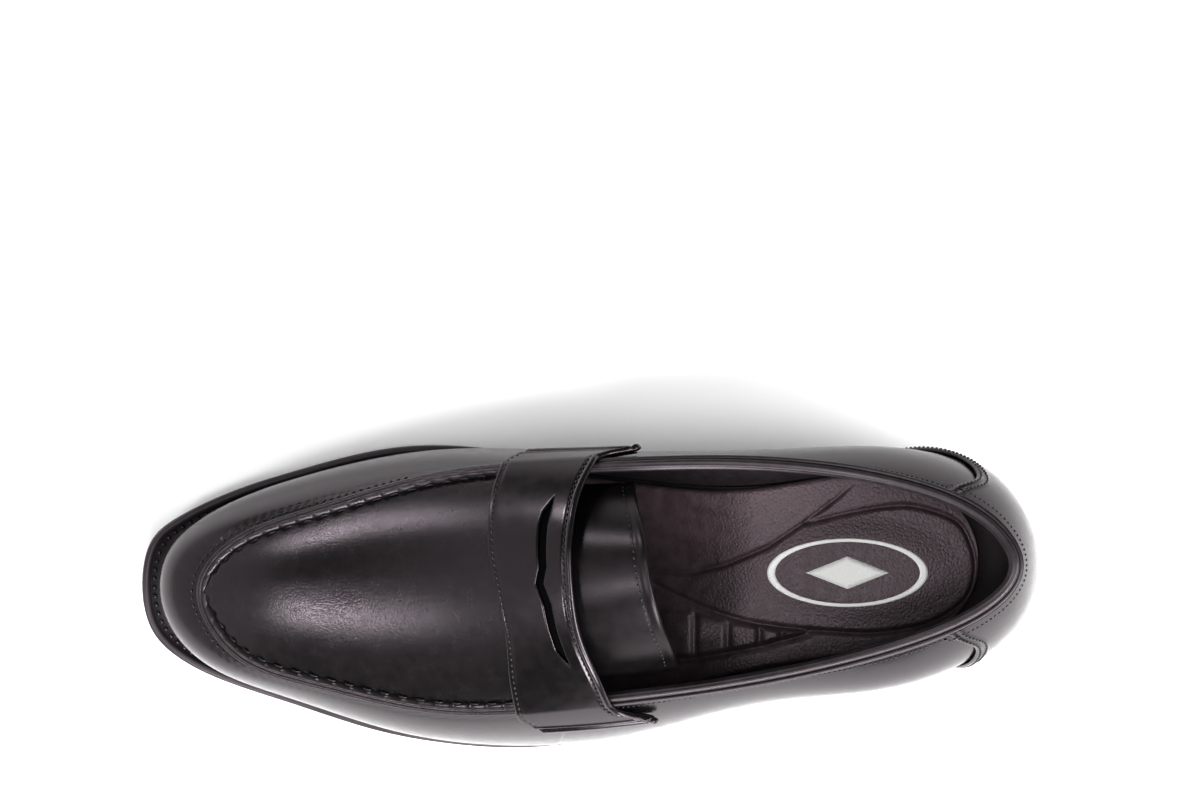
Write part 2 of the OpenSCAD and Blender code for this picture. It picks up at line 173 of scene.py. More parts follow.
def sole_bottom(y):
    spring = TOE_SPRING * ((y - SPRING_Y) / (-HALF_LENGTH - SPRING_Y)) ** 2
    arch = HEEL_HEIGHT * smooth((y - ARCH_Y) / (SEAT_Y - ARCH_Y))
    return np.where(y < SPRING_Y, spring, arch)


def rise(y):
    return smooth((y - ARCH_Y) / (WELT_END_Y - ARCH_Y))


def outsole_top(y):
    return sole_bottom(y) + lerp(OUTSOLE_THICK, SEAT_THICK, rise(y))


def sole_top(y):
    return outsole_top(y) + WELT_THICK * (1 - rise(y))


def wall(phi_in, v):
    """The upper's wall: v is 0 at the sole and 1 at the apron seam or topline."""
    phi_in, v = np.broadcast_arrays(np.asarray(phi_in, float), np.asarray(v, float))
    phi = wrap(phi_in)
    f, b, t = plan(FEATHER, phi), plan(BULGE, phi), plan(TOP, phi)
    along = plan(BULGE, wrap(phi_in + 1)) - plan(BULGE, wrap(phi_in - 1))
    out = np.stack([along[..., 1], -along[..., 0]], -1)
    out /= np.linalg.norm(out, axis=-1, keepdims=True)
    reach = ((b - f) * out).sum(-1) * ((b - t) * out).sum(-1)
    m = b + out * np.sqrt(np.maximum(0, reach))[..., None]
    zf, zt = sole_top(f[..., 1]), round_shoe(TOP_Z, phi)
    zm = lerp(zf, zt, round_shoe(TURN, phi))
    w = v[..., None]
    flat = (1 - w) ** 2 * f + 2 * w * (1 - w) * m + w * w * t
    z = (1 - v) ** 2 * zf + 2 * v * (1 - v) * zm + v * v * zt
    return np.concatenate([flat, z[..., None]], -1)


def crowned(lateral, medial, edge_z, ridge_z, t):
    s = np.where(t < RIDGE_AT, (RIDGE_AT - t) / (1 + RIDGE_AT), (t - RIDGE_AT) / (1 - RIDGE_AT))
    z = lerp(edge_z, ridge_z, 1 - np.minimum(1, s) ** CROWN_POWER)
    flat = lerp(medial, lateral, ((t + 1) / 2)[..., None])
    return np.concatenate([flat, z[..., None]], -1)


def apron_at(phi, t, line=TOP):
    phi, t = np.broadcast_arrays(np.asarray(phi, float), np.asarray(t, float))
    return crowned(plan(line, phi), plan(line, -phi), round_shoe(TOP_Z, phi),
                   round_shoe(RIDGE_Z, phi), t)


def strap_at(b, s):
    b, s = np.broadcast_arrays(np.asarray(b, float), np.asarray(s, float))
    phi = lerp(across(STRAP_FRONT, b), across(STRAP_REAR, b), s)
    down = np.maximum(0, np.abs(b) - CROWN_SHARE) / (1 - CROWN_SHARE)
    top = apron_at(phi, np.clip(b / CROWN_SHARE, -1, 1))
    side = wall(np.sign(b) * phi, 1 - down * (1 - STRAP_END))
    return np.where((np.abs(b) <= CROWN_SHARE)[..., None], top, side)


def tongue_at(t, phi):
    t, phi = np.broadcast_arrays(np.asarray(t, float), np.asarray(phi, float))
    return crowned(plan(TOP, phi) - (4.8, 0), plan(TOP, -phi) + (4.2, 0),
                   round_shoe(TOP_Z, phi) - 4, round_shoe(RIDGE_Z, phi), t)


# ---------------------------------------------------------------- mesh making
def unit(v):
    return v / np.maximum(np.linalg.norm(v, axis=-1, keepdims=True), 1e-12)


def normals(p):
    return unit(np.cross(np.gradient(p, axis=0), np.gradient(p, axis=1)))


def grid_quads(nu, nv, start=0, flip=False, closed=False):
    i = np.arange(nu if closed else nu - 1)[:, None]
    j = np.arange(nv - 1)[None, :]
    a = i * nv + j
    b = (i + 1) % nu * nv + j
    quads = np.stack([a, b, b + 1, a + 1], -1).reshape(-1, 4) + start
    return quads[:, ::-1] if flip else quads


def make(name, points, quads, material, nodes=(), body=BODY, weld=1e-3):
    """Makes a smooth-shaded piece from points in millimetres and lets it ride on its body."""
    mesh = bpy.data.meshes.new(name)
    mesh.vertices.add(len(points))
    mesh.vertices.foreach_set("co", (points * MM).astype(np.float32).ravel())
    mesh.loops.add(quads.size)
    mesh.loops.foreach_set("vertex_index", np.ascontiguousarray(quads, np.int32).ravel())
    mesh.polygons.add(len(quads))
    mesh.polygons.foreach_set("loop_start", np.arange(0, quads.size, 4, dtype=np.int32))
    mesh.update(calc_edges=True)
    mesh.validate()
    work = bmesh.new()
    work.from_mesh(mesh)
    bmesh.ops.remove_doubles(work, verts=work.verts, dist=weld * MM)
    bmesh.ops.recalc_face_normals(work, faces=work.faces)
    work.to_mesh(mesh)
    work.free()
    mesh.shade_smooth()
    piece = bpy.data.objects.new(name, mesh)
    bpy.context.scene.collection.objects.link(piece)
    mesh.materials.append(material)
    if body:
        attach(piece, body)
    if nodes:
        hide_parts(*nodes)
    return piece


def run_length(p, axis=0):
    """Length along one way of a grid of points, or along a path, from its start."""
    step = np.linalg.norm(np.diff(p, axis=axis), axis=-1)
    return np.cumsum(np.insert(step, 0, 0, axis=axis), axis=axis)


def edge_factor(p, radii):
    """0 on each rounded side of a grid and 1 inside, as a quarter circle of that radius."""
    k = np.ones(p.shape[:2])
    for axis in (0, 1):
        length = run_length(p, axis)
        last = np.take(length, [-1], axis=axis)
        for dist, r in ((length, radii[2 * axis]), (last - length, radii[2 * axis + 1])):
            if r:
                k = k * np.sqrt(np.maximum(0, 1 - (1 - np.clip(dist / r, 0, 1)) ** 2))
    return k


def ends_in(n, close=(0.0, 0.02, 0.06, 0.14, 0.28, 0.55)):
    """Even steps from 0 to 1 with finer ones packed against both ends."""
    step = 1 / n
    low = np.array(close) * step
    return np.concatenate([low, np.linspace(step, 1 - step, n - 1), 1 - low[::-1]])


def sheet(name, base, lo, hi, radii, material, nodes=(), relief=0, hole=None, body=BODY):
    """A closed sheet of leather between two offsets from a grid of points."""
    nu, nv = base.shape[:2]
    n = normals(base)
    k = edge_factor(base, radii)
    if hole is not None:
        k = k * hole[0]
    mid = (lo + hi) / 2
    outer = base + n * (mid + (hi - mid + relief) * k)[..., None]
    inner = base + n * (mid + (lo - mid) * k)[..., None]
    front, back = grid_quads(nu, nv), grid_quads(nu, nv, nu * nv, flip=True)
    if hole is not None:
        keep = ~hole[1].reshape(-1)
        front, back = front[keep], back[keep]
    ids = np.arange(nu * nv).reshape(nu, nv)
    rim = np.concatenate([ids[:-1, 0], ids[-1, :-1], ids[:0:-1, -1], ids[0, :0:-1]])
    ahead = np.roll(rim, -1)
    sides = np.stack([rim, ahead, ahead + nu * nv, rim + nu * nv], -1)
    points = np.concatenate([outer.reshape(-1, 3), inner.reshape(-1, 3)])
    return make(name, points, np.concatenate([front, back, sides]), material, nodes, body)


def sweep(name, path, side, up, profile, material, nodes=(), closed=False, taper=0,
          body=BODY):
    """A solid swept along a path. profile is (steps or 1, points, 2): across and up."""
    profile = np.broadcast_to(profile, (len(path),) + profile.shape[1:])
    if taper:
        length = run_length(path)
        near = np.minimum(length, length[-1] - length)
        k = np.sqrt(np.maximum(0, 1 - (1 - np.clip(near / taper, 0, 1)) ** 2))
        centre = profile.mean(1, keepdims=True)
        profile = centre + (profile - centre) * k[:, None, None]
    rings = (path[:, None] + profile[..., :1] * side[:, None] + profile[..., 1:] * up[:, None])
    rings = np.concatenate([rings, rings[:, :1]], 1)
    quads = grid_quads(len(path), rings.shape[1], closed=closed)
    return make(name, rings.reshape(-1, 3), quads, material, nodes, body)


def frame_on(f, u, v, e=0.02):
    """Points of a surface and their outward normals."""
    n = unit(np.cross(f(u + e, v) - f(u - e, v), f(u, v + e * 0.1) - f(u, v - e * 0.1)))
    return f(u, v), n


def even(points, extra, pitch, offset=0.0):
    """Points and their companions at an even pitch along a path."""
    length = run_length(points)
    count = max(2, int(length[-1] / pitch))
    at = (np.arange(count) + offset) * length[-1] / count

    def take(values):
        columns = [np.interp(at, length, values[:, i]) for i in range(values.shape[1])]
        return np.stack(columns, -1)

    return take(points), [take(a) for a in extra]


THREAD_FLAT = 0.85    # a stitch's height over its width


def threads(name, start, end, up, radius, dive, material, nodes=(), body=BODY):
    """Many stitches in one piece: each a short rounded thread whose ends dive into the leather."""
    rings, around = 7, 7

    def pick(values):
        return values[:, None, None, :]

    x = np.linspace(-1, 1, rings)[None, :, None, None]
    turn = np.linspace(0, 2 * np.pi, around + 1)[None, None, :, None]
    along = unit(end - start)
    side = unit(np.cross(along, up))
    r = radius * np.sqrt(np.maximum(0, 1 - np.abs(x) ** 5))
    points = (pick((start + end) / 2) + x * pick((end - start) / 2)
              + r * (np.cos(turn) * pick(side) + THREAD_FLAT * np.sin(turn) * pick(up))
              - dive * x ** 2 * pick(up))
    n = len(start)
    per = rings * (around + 1)
    quads = np.concatenate([grid_quads(rings, around + 1, i * per) for i in range(n)])
    return make(name, points.reshape(-1, 3), quads, material, nodes, body, weld=2e-3)


def row(name, f, u, v, pitch, radius, height, material, nodes=(), share=0.66, body=BODY,
        dive=0.3):
    """A row of stitches lying along a line on a surface."""
    points, n = frame_on(f, u, v)
    points = points + n * (height[:, None] if np.ndim(height) else height)
    a, (na,) = even(points, [n], pitch)
    b, _ = even(points, [n], pitch, share)
    return threads(name, a, b, unit(na), radius, dive, material, nodes, body)


# ---------------------------------------------------------------- materials
def material(name):
    made = bpy.data.materials.new(name)
    made.use_nodes = True
    tree = made.node_tree
    shader = next(x for x in tree.nodes if x.type == "BSDF_PRINCIPLED")
    where = tree.nodes.new("ShaderNodeTexCoord")
    return made, tree, shader, where.outputs["Object"]


def add(tree, kind, ins=None, **props):
    node = tree.nodes.new(kind)
    for key, value in props.items():
        setattr(node, key, value)
    for key, value in (ins or {}).items():
        if hasattr(value, "is_linked"):
            tree.links.new(value, node.inputs[key])
        else:
            node.inputs[key].default_value = value
    return node


def ramp(tree, value, low, high, from_low=0.0, from_high=1.0):
    """Maps a value linearly from one range to another."""
    return add(tree, "ShaderNodeMapRange", {"Value": value, "From Min": from_low,
               "From Max": from_high, "To Min": low, "To Max": high}).outputs["Result"]


def mix_colour(tree, factor, a, b):
    node = add(tree, "ShaderNodeMix", data_type="RGBA")
    tree.links.new(factor, node.inputs["Factor"])
    node.inputs["A"].default_value = (*a, 1)
    node.inputs["B"].default_value = (*b, 1)
    return node.outputs["Result"]


WARM_TINT = (1, 0.88, 0.96, 1)


def leather(name, dark, light, rough, grain, depth, wave=0.0, specular=0.5):
    """Leather: a pebble of cells with fine pores, slow changes of gloss and soft waves.
    grain is the cells' size, depth their height and wave the waves' height, in millimetres."""
    made, tree, shader, where = material(name)
    cells = add(tree, "ShaderNodeTexVoronoi", {"Vector": where, "Scale": 1 / (grain * MM)},
                feature="SMOOTH_F1")
    cells.inputs["Smoothness"].default_value = 0.35
    pores = add(tree, "ShaderNodeTexNoise", {"Vector": where, "Scale": 2.3 / (grain * MM),
                "Detail": 4.0, "Roughness": 0.6})
    patch = add(tree, "ShaderNodeTexNoise", {"Vector": where, "Scale": 260.0, "Detail": 5.0})
    shader.inputs["Specular IOR Level"].default_value = specular
    shader.inputs["Specular Tint"].default_value = WARM_TINT
    colour = mix_colour(tree, ramp(tree, patch.outputs["Fac"], 0, 1, 0.35, 0.65), dark, light)
    tree.links.new(colour, shader.inputs["Base Color"])
    tree.links.new(ramp(tree, patch.outputs["Fac"], rough[0], rough[1], 0.3, 0.7),
                   shader.inputs["Roughness"])
    fine = add(tree, "ShaderNodeBump", {"Height": pores.outputs["Fac"], "Strength": 0.25,
               "Distance": depth * 0.5 * MM})
    pebble = add(tree, "ShaderNodeBump", {"Height": cells.outputs["Distance"], "Strength": 1.0,
                 "Distance": depth * MM, "Normal": fine.outputs["Normal"]}, invert=True)
    last = pebble
    if wave:
        slow = add(tree, "ShaderNodeTexNoise", {"Vector": where, "Scale": 45.0, "Detail": 1.0})
        last = add(tree, "ShaderNodeBump", {"Height": slow.outputs["Fac"], "Strength": 1.0,
                   "Distance": wave * MM, "Normal": pebble.outputs["Normal"]})
    tree.links.new(last.outputs["Normal"], shader.inputs["Normal"])
    return made


def rubber(name, dark, light, rough):
    made, tree, shader, where = material(name)
    speckle = add(tree, "ShaderNodeTexNoise", {"Vector": where, "Scale": 1500.0, "Detail": 6.0})
    slow = add(tree, "ShaderNodeTexNoise", {"Vector": where, "Scale": 90.0, "Detail": 3.0})
    shader.inputs["Specular Tint"].default_value = WARM_TINT
    colour = mix_colour(tree, ramp(tree, slow.outputs["Fac"], 0, 1, 0.3, 0.7), dark, light)
    tree.links.new(colour, shader.inputs["Base Color"])
    tree.links.new(ramp(tree, slow.outputs["Fac"], rough[0], rough[1], 0.3, 0.7),
                   shader.inputs["Roughness"])
    bump = add(tree, "ShaderNodeBump", {"Height": speckle.outputs["Fac"], "Strength": 0.5,
               "Distance": 0.1 * MM})
    tree.links.new(bump.outputs["Normal"], shader.inputs["Normal"])
    return made


def thread(name, colour, rough):
    made, tree, shader, where = material(name)
    twist = add(tree, "ShaderNodeTexNoise", {"Vector": where, "Scale": 4200.0, "Detail": 2.0})
    tint = mix_colour(tree, twist.outputs["Fac"], colour, tuple(c * 1.8 for c in colour))
    tree.links.new(tint, shader.inputs["Base Color"])
    shader.inputs["Roughness"].default_value = rough
    bump = add(tree, "ShaderNodeBump", {"Height": twist.outputs["Fac"], "Strength": 0.6,
               "Distance": 0.1 * MM})
    tree.links.new(bump.outputs["Normal"], shader.inputs["Normal"])
    return made


def plain(name, dark, light, rough, scale, metallic=0.0, specular=0.5):
    """A raw material: board, cork, foam or steel, told apart by its mottling."""
    made, tree, shader, where = material(name)
    mottle = add(tree, "ShaderNodeTexNoise", {"Vector": where, "Scale": scale, "Detail": 8.0})
    colour = mix_colour(tree, ramp(tree, mottle.outputs["Fac"], 0, 1, 0.3, 0.7), dark, light)
    tree.links.new(colour, shader.inputs["Base Color"])
    tree.links.new(ramp(tree, mottle.outputs["Fac"], rough * 0.85, min(1, rough * 1.15)),
                   shader.inputs["Roughness"])
    shader.inputs["Metallic"].default_value = metallic
    shader.inputs["Specular IOR Level"].default_value = specular
    bump = add(tree, "ShaderNodeBump", {"Height": mottle.outputs["Fac"], "Strength": 0.4,
               "Distance": 0.2 * MM})
    tree.links.new(bump.outputs["Normal"], shader.inputs["Normal"])
    return made


# Each dye is a dark and a light shade of one colour.
BLACK_DYE = ((0.0036, 0.0031, 0.0034), (0.0052, 0.0045, 0.0049))
# A lighter dye for the seam ridge and the topline binding: painted sheen, standing in for the sky's
# reflection on these edges.
SHEEN_PAINTED_DYE = ((0.014, 0.012, 0.013), (0.022, 0.0195, 0.0205))
POLISHED = leather("polished_leather", *BLACK_DYE, (0.2, 0.27), 0.45, 0.012, wave=0.02)
STRAP = leather("strap_leather", *BLACK_DYE, (0.2, 0.26), 0.4, 0.008, wave=0.015)
GRAINED = leather("grained_leather", (0.0042, 0.0036, 0.0039), (0.0062, 0.0054, 0.0058),
                  (0.24, 0.28), 0.55, 0.045)
TONGUE = leather("tongue_leather", *BLACK_DYE, (0.33, 0.38), 0.45, 0.012, specular=0.32)
BINDING = leather("binding_leather", *SHEEN_PAINTED_DYE, (0.4, 0.48), 0.5, 0.03)
RIDGE = leather("ridge_leather", *SHEEN_PAINTED_DYE, (0.27, 0.33), 0.5, 0.02)
# The lining's colour is darkened below its own tone: painted shade for the unlit inside of the
# opening.
LINING = leather("lining_leather", (0.009, 0.007, 0.008), (0.014, 0.011, 0.012),
                 (0.5, 0.6), 0.9, 0.07, wave=0.1, specular=0.35)
FOOTBED = leather("footbed_leather", (0.052, 0.036, 0.041), (0.075, 0.055, 0.06),
                  (0.34, 0.45), 0.85, 0.1, wave=0.1)
SOLE_RUBBER = rubber("sole_rubber", (0.009, 0.009, 0.01), (0.016, 0.016, 0.018), (0.45, 0.6))
# The welt's rubber is lighter than the sole's: painted highlight for the welt's lit lip.
WELT_RUBBER = rubber("welt_rubber", (0.024, 0.021, 0.023), (0.034, 0.03, 0.033), (0.32, 0.42))
HEEL_RUBBER = rubber("heel_rubber", (0.008, 0.008, 0.009), (0.014, 0.014, 0.015), (0.4, 0.55))
THREAD = thread("black_thread", (0.006, 0.006, 0.006), 0.35)
WELT_THREAD = thread("welt_thread", (0.008, 0.008, 0.008), 0.35)
FOAM = plain("foam", (0.55, 0.5, 0.36), (0.72, 0.66, 0.5), 0.9, 2500.0)
BACKING = plain("strap_backing", (0.002, 0.002, 0.002), (0.003, 0.003, 0.003), 0.9, 900.0,
                specular=0.03)
BOARD = plain("fibreboard", (0.34, 0.25, 0.15), (0.5, 0.38, 0.25), 0.85, 900.0)
CORK = plain("cork", (0.3, 0.18, 0.09), (0.5, 0.33, 0.18), 0.9, 500.0)
STEEL = plain("steel", (0.42, 0.42, 0.43), (0.6, 0.6, 0.61), 0.35, 300.0, metallic=1.0)
PRINT = plain("badge_print", (0.86, 0.86, 0.85), (0.93, 0.93, 0.92), 0.45, 1800.0)

for nodes, look in (
        (("shank", "heel_nails"), STEEL), (("cork_filler",), CORK),
        (("insole_board", "toe_puff", "heel_stiffener"), BOARD), (("collar_foam",), FOAM),
        (("strap_lining",), BACKING),
        (("vamp_lining", "apron_lining", "quarter_lining", "tongue_lining"), LINING)):
    for node in nodes:
        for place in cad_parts[node].material_slots:
            place.material = look


# ---------------------------------------------------------------- sole and heel
def outline(curve, phi):
    """Plan points and outward normals of a closed curve."""
    p = plan(curve, wrap(phi))
    along = plan(curve, wrap(phi + 0.5)) - plan(curve, wrap(phi - 0.5))
    return p, unit(np.stack([along[:, 1], -along[:, 0]], -1))


def lift(flat, z):
    return np.concatenate([flat, np.asarray(z)[..., None]], -1)


def slab_rings(curve, phi, insets, heights):
    """Rings round the shoe: each inset from a plan curve, at a height given by a function of y."""
    p, n = outline(curve, phi)
    rings = []
    for inset, height in zip(insets, heights):
        q = p - n * inset
        rings.append(lift(q, height(q[:, 1])))
    return np.stack(rings, 1)


def to_middle(ring, share):
    """A ring drawn in towards the shoe's middle line at the same station."""
    mid = lerp(SOLE[2], SOLE[3], smooth((ring[:, 1] + HALF_LENGTH) / (2 * HALF_LENGTH)))
    moved = ring.copy()
    moved[:, 0] = lerp(ring[:, 0], mid, share)
    return moved


def closed_slab(name, rings, look, nodes):
    """Closes a stack of rings over the middle line at top and bottom."""
    caps = [to_middle(rings[:, 0], s) for s in (1, 0.7, 0.35, 0.12)]
    feet = [to_middle(rings[:, -1], s) for s in (0.12, 0.35, 0.7, 1)]
    full = np.concatenate([np.stack(caps, 1), rings, np.stack(feet, 1)], 1)
    quads = grid_quads(len(full), full.shape[1], closed=True)
    return make(name, full.reshape(-1, 3), quads, look, nodes)


def rounded_side(top, low, r, groove=0.0):
    """Insets and heights from a slab's top edge to its bottom edge, with rounded corners."""
    insets, heights = [], []
    for a in np.linspace(0, 90, 5):
        insets.append(r * (1 - math.sin(math.radians(a))))
        heights.append(lambda y, a=a: top(y) - r * (1 - math.cos(math.radians(a))))
    for share, depth in ((0.42, 0), (0.47, groove), (0.53, groove), (0.58, 0)):
        insets.append(depth)
        heights.append(lambda y, s=share: lerp(top(y), low(y), s))
    for a in np.linspace(90, 0, 5):
        insets.append(r * (1 - math.sin(math.radians(a))))
        heights.append(lambda y, a=a: low(y) + r * (1 - math.cos(math.radians(a))))
    return insets, heights


ROUND = np.linspace(0, 360, 721)[:-1]


def build_sole():
    insets, heights = rounded_side(outsole_top, sole_bottom, 0.9, 0.35)
    closed_slab("outsole_rubber", slab_rings(SOLE, ROUND, insets, heights), SOLE_RUBBER,
                ("outsole",))


WELT_REAR_Y = 24
WELT_ROW_REAR_Y = 4
WELT_PITCH = 3.0
CHANNEL_FLOOR = 0.58  # share of the welt's thickness left under the channel
NARROWEST_RIM = 4.1   # from the sole's edge to the upper's foot


def build_welt():
    """The welt's strip: a rounded lip, a sunk channel for the stitches, and the rest under
    the upper. Places across it count from the outer edge, or from the upper's foot."""
    end = angle_at(SOLE, WELT_REAR_Y)
    phi = np.linspace(-end, end, 640)
    p, n = outline(SOLE, phi)
    top, low = sole_top(p[:, 1]), outsole_top(p[:, 1]) + 0.02
    thick = top - low
    inner = plan(shrink(FEATHER, 5), phi)
    width = np.minimum(12, np.linalg.norm(p - inner, axis=-1))
    foot = np.maximum(NARROWEST_RIM, ((p - plan(FEATHER, phi)) * n).sum(-1))
    lip = np.array([(0.25, 0), (0.0, 0.12), (0.0, 0.75), (0.15, 0.93), (0.55, 1.03), (1.3, 1.06),
                    (2.1, 1.04), (2.55, 0.95), (2.8, 0.78), (3.0, 0.64)])
    channel = np.array([(-0.95, CHANNEL_FLOOR), (-0.3, 0.6), (-0.05, 0.8), (0.25, 0.95),
                        (2.0, 0.97)])
    inset = np.concatenate([np.tile(lip[:, 0], (len(phi), 1)), foot[:, None] + channel[:, 0]], 1)
    height = np.concatenate([lip[:, 1], channel[:, 1]])
    profile = np.zeros((len(phi), len(height) + 2, 2))
    profile[:, :-2, 0] = -inset
    profile[:, :-2, 1] = low[:, None] + height * thick[:, None]
    profile[:, -2, 0] = -width
    profile[:, -2, 1] = low + 0.97 * thick
    profile[:, -1, 0] = -width
    profile[:, -1, 1] = low
    up = np.tile((0.0, 0.0, 1.0), (len(phi), 1))
    sweep("welt_strip", lift(p, 0 * top), lift(n, 0 * top), up, profile, WELT_RUBBER,
          ("welt",))
    q = p - n * (3.45 + 0.15 * (foot - NARROWEST_RIM))[:, None]
    path = lift(q, low + CHANNEL_FLOOR * thick + 0.3)
    path = path[q[:, 1] < WELT_ROW_REAR_Y]
    a, _ = even(path, [], WELT_PITCH)
    b, _ = even(path, [], WELT_PITCH, 0.6)
    threads("welt_thread_row", a, b, np.tile((0.0, 0.0, 1.0), (len(a), 1)), 0.75, 0.45,
            WELT_THREAD, ("welt_stitches",))


def heel_outline(inset):
    """The heel's plan as one loop: round the back, then straight across the breast."""
    curve = shrink(SOLE, inset)
    breast = angle_at(curve, SEAT_Y + 2)
    arc = plan(curve, wrap(np.linspace(breast, 360 - breast, 300)))
    line = np.stack([lerp(arc[-1], arc[0], s) for s in np.linspace(0, 1, 60)[1:-1]])
    loop = np.concatenate([arc, line])
    for _ in range(12):
        loop = (np.roll(loop, 1, axis=0) + 2 * loop + np.roll(loop, -1, axis=0)) / 4
    return loop


HEEL_CORNER = 0.5


def heel_piece(name, inset_top, inset_low, top, low, look, nodes, grooves=0):
    """A layer of the heel with rounded edges and thin lines between its lifts."""
    upper, lower = heel_outline(inset_top), heel_outline(inset_low)
    middle = upper.mean(0)
    turns = np.radians(np.linspace(0, 90, 4))
    steps = [(top - HEEL_CORNER * (1 - math.cos(a)), HEEL_CORNER * (1 - math.sin(a)))
             for a in turns]
    height = top - low
    for i in range(grooves):
        z = top - height * (i + 1) / (grooves + 1)
        steps += [(z + 0.35, 0), (z + 0.12, 0.28), (z - 0.12, 0.28), (z - 0.35, 0)]
    steps += [(low + HEEL_CORNER * (1 - math.cos(a)), HEEL_CORNER * (1 - math.sin(a)))
              for a in turns[::-1]]
    out = unit(np.roll(upper, -1, axis=0) - np.roll(upper, 1, axis=0))
    out = np.stack([out[:, 1], -out[:, 0]], -1)
    rings = []
    for z, inset in steps:
        flat = lerp(lower, upper, (z - low) / height) - out * inset
        rings.append(lift(flat, np.full(len(flat), z)))
    caps = [lift(lerp(middle, rings[0][:, :2], s), rings[0][:, 2]) for s in (0, 0.4, 0.8)]
    feet = [lift(lerp(middle, rings[-1][:, :2], s), rings[-1][:, 2]) for s in (0.8, 0.4, 0)]
    full = np.stack(caps + rings + feet, 1)
    return make(name, full.reshape(-1, 3), grid_quads(len(full), full.shape[1], closed=True), look,
                nodes)


def build_heel():
    lift_top = 6
    heel_piece("heel_stack", 0.6, 1.0, HEEL_HEIGHT - 0.02, lift_top + 0.02, HEEL_RUBBER,
               ("heel_block",), 2)
    heel_piece("heel_wear_layer", 0.8, 1.2, lift_top, 0, HEEL_RUBBER,
               ("heel_top_lift",))


# ---------------------------------------------------------------- upper
PIPING_END = 79       # degrees round the shoe
STITCH = 6.0          # pitch of the hand stitches


def seam_path():
    """The apron seam: points, the across direction towards the apron, up, and arc length."""
    phi = np.linspace(-PIPING_END, PIPING_END, 900)
    p = lift(plan(TOP, phi), round_shoe(TOP_Z, phi))
    tangent = unit(np.gradient(p, axis=0))
    side = np.where(phi < 0, -1.0, 1.0)
    within = apron_at(np.abs(phi), side * 0.9) - p
    toe = np.clip(1 - np.abs(phi) / 14, 0, 1)[:, None]
    flat_in = np.stack([-tangent[:, 1], tangent[:, 0], 0 * phi], -1)
    within = unit(unit(within) * (1 - toe) + unit(flat_in + (0, 0, 0.15)) * toe)
    n_apron = np.cross(tangent, within)
    below = wall(phi, 0.96) - p
    n_wall = np.cross(unit(below), tangent)
    up = unit(unit(n_apron) + unit(n_wall))
    inward = np.cross(up, tangent)
    length = run_length(p)
    return p, unit(inward), up, length


def pulse(length, width):
    """A row of soft pinches, one at each stitch of the apron seam."""
    phase = (length / STITCH) % 1
    near = np.minimum(phase, 1 - phase) * STITCH
    return np.exp(-(near / width) ** 2)


def nearest(path, points):
    """Distance from each point to a path, and the index of the nearest path point."""
    flat = points.reshape(-1, points.shape[-1])
    dist = np.empty(len(flat))
    where = np.empty(len(flat), int)
    for i in range(0, len(flat), 4000):
        d = np.linalg.norm(flat[i:i + 4000, None] - path[None], axis=-1)
        where[i:i + 4000] = d.argmin(1)
        dist[i:i + 4000] = d.min(1)
    return dist.reshape(points.shape[:-1]), where.reshape(points.shape[:-1])


SEAM, SEAM_IN, SEAM_UP, SEAM_LENGTH = seam_path()


def build_wall():
    v = 1 - (1 - np.linspace(0, 1, 70)) ** 1.25
    phi = np.linspace(-SIDE_SEAM, SIDE_SEAM, 420)
    base = wall(phi[:, None], v[None] * 0.985)
    dist, where = nearest(SEAM[::2], base[:, 40:])
    relief = np.zeros(base.shape[:2])
    pull = pulse(SEAM_LENGTH[::2][where] * 2, 1.2)
    relief[:, 40:] = -0.16 * pull * np.exp(-((dist - 4.2) / 1.4) ** 2)
    sheet("vamp_wall", base, -1.4, 0.0, (0.6, 0.6, 0, 0), POLISHED,
          ("vamp",), relief)
    for name, node, a, b in (("lateral_side", "lateral_quarter", SIDE_SEAM - 0.8, 180),
                             ("medial_side", "medial_quarter", 180, 360.8 - SIDE_SEAM)):
        phi = np.linspace(a, b, 300)
        base = wall(phi[:, None], v[None] * 0.975)
        sheet(name, base, -1.4, -0.25, (0, 0, 0, 0), POLISHED, (node,))


def build_apron():
    t = np.concatenate([np.linspace(-1, -0.86, 16)[:-1], np.linspace(-0.86, 0.86, 90),
                        np.linspace(0.86, 1, 16)[1:]])
    phi = np.linspace(1.2, 83, 520)
    line = shrink(TOP, 1.2)
    base = apron_at(phi[:, None], t[None], line)[:, ::-1]
    dist, where = nearest(SEAM[::2], base)
    pull = pulse(SEAM_LENGTH[::2][where], 1.1)
    relief = -0.3 * pull * np.exp(-((dist - 3.0) / 1.0) ** 2) - 0.35 * np.exp(-(dist / 2.4) ** 2)
    across_t = t[None, ::-1]
    side_s = np.where(across_t < -0.28, (-0.28 - across_t) / 0.72, (across_t + 0.28) / 1.28)
    relief += 2.6 * np.exp(-((base[..., 1] + 104) / 22) ** 2) * (1 - np.minimum(1, side_s) ** 1.5)
    sheet("apron_plug", base, -1.4, 0.0, (0, 0, 0, 0), GRAINED, ("apron",),
          relief)


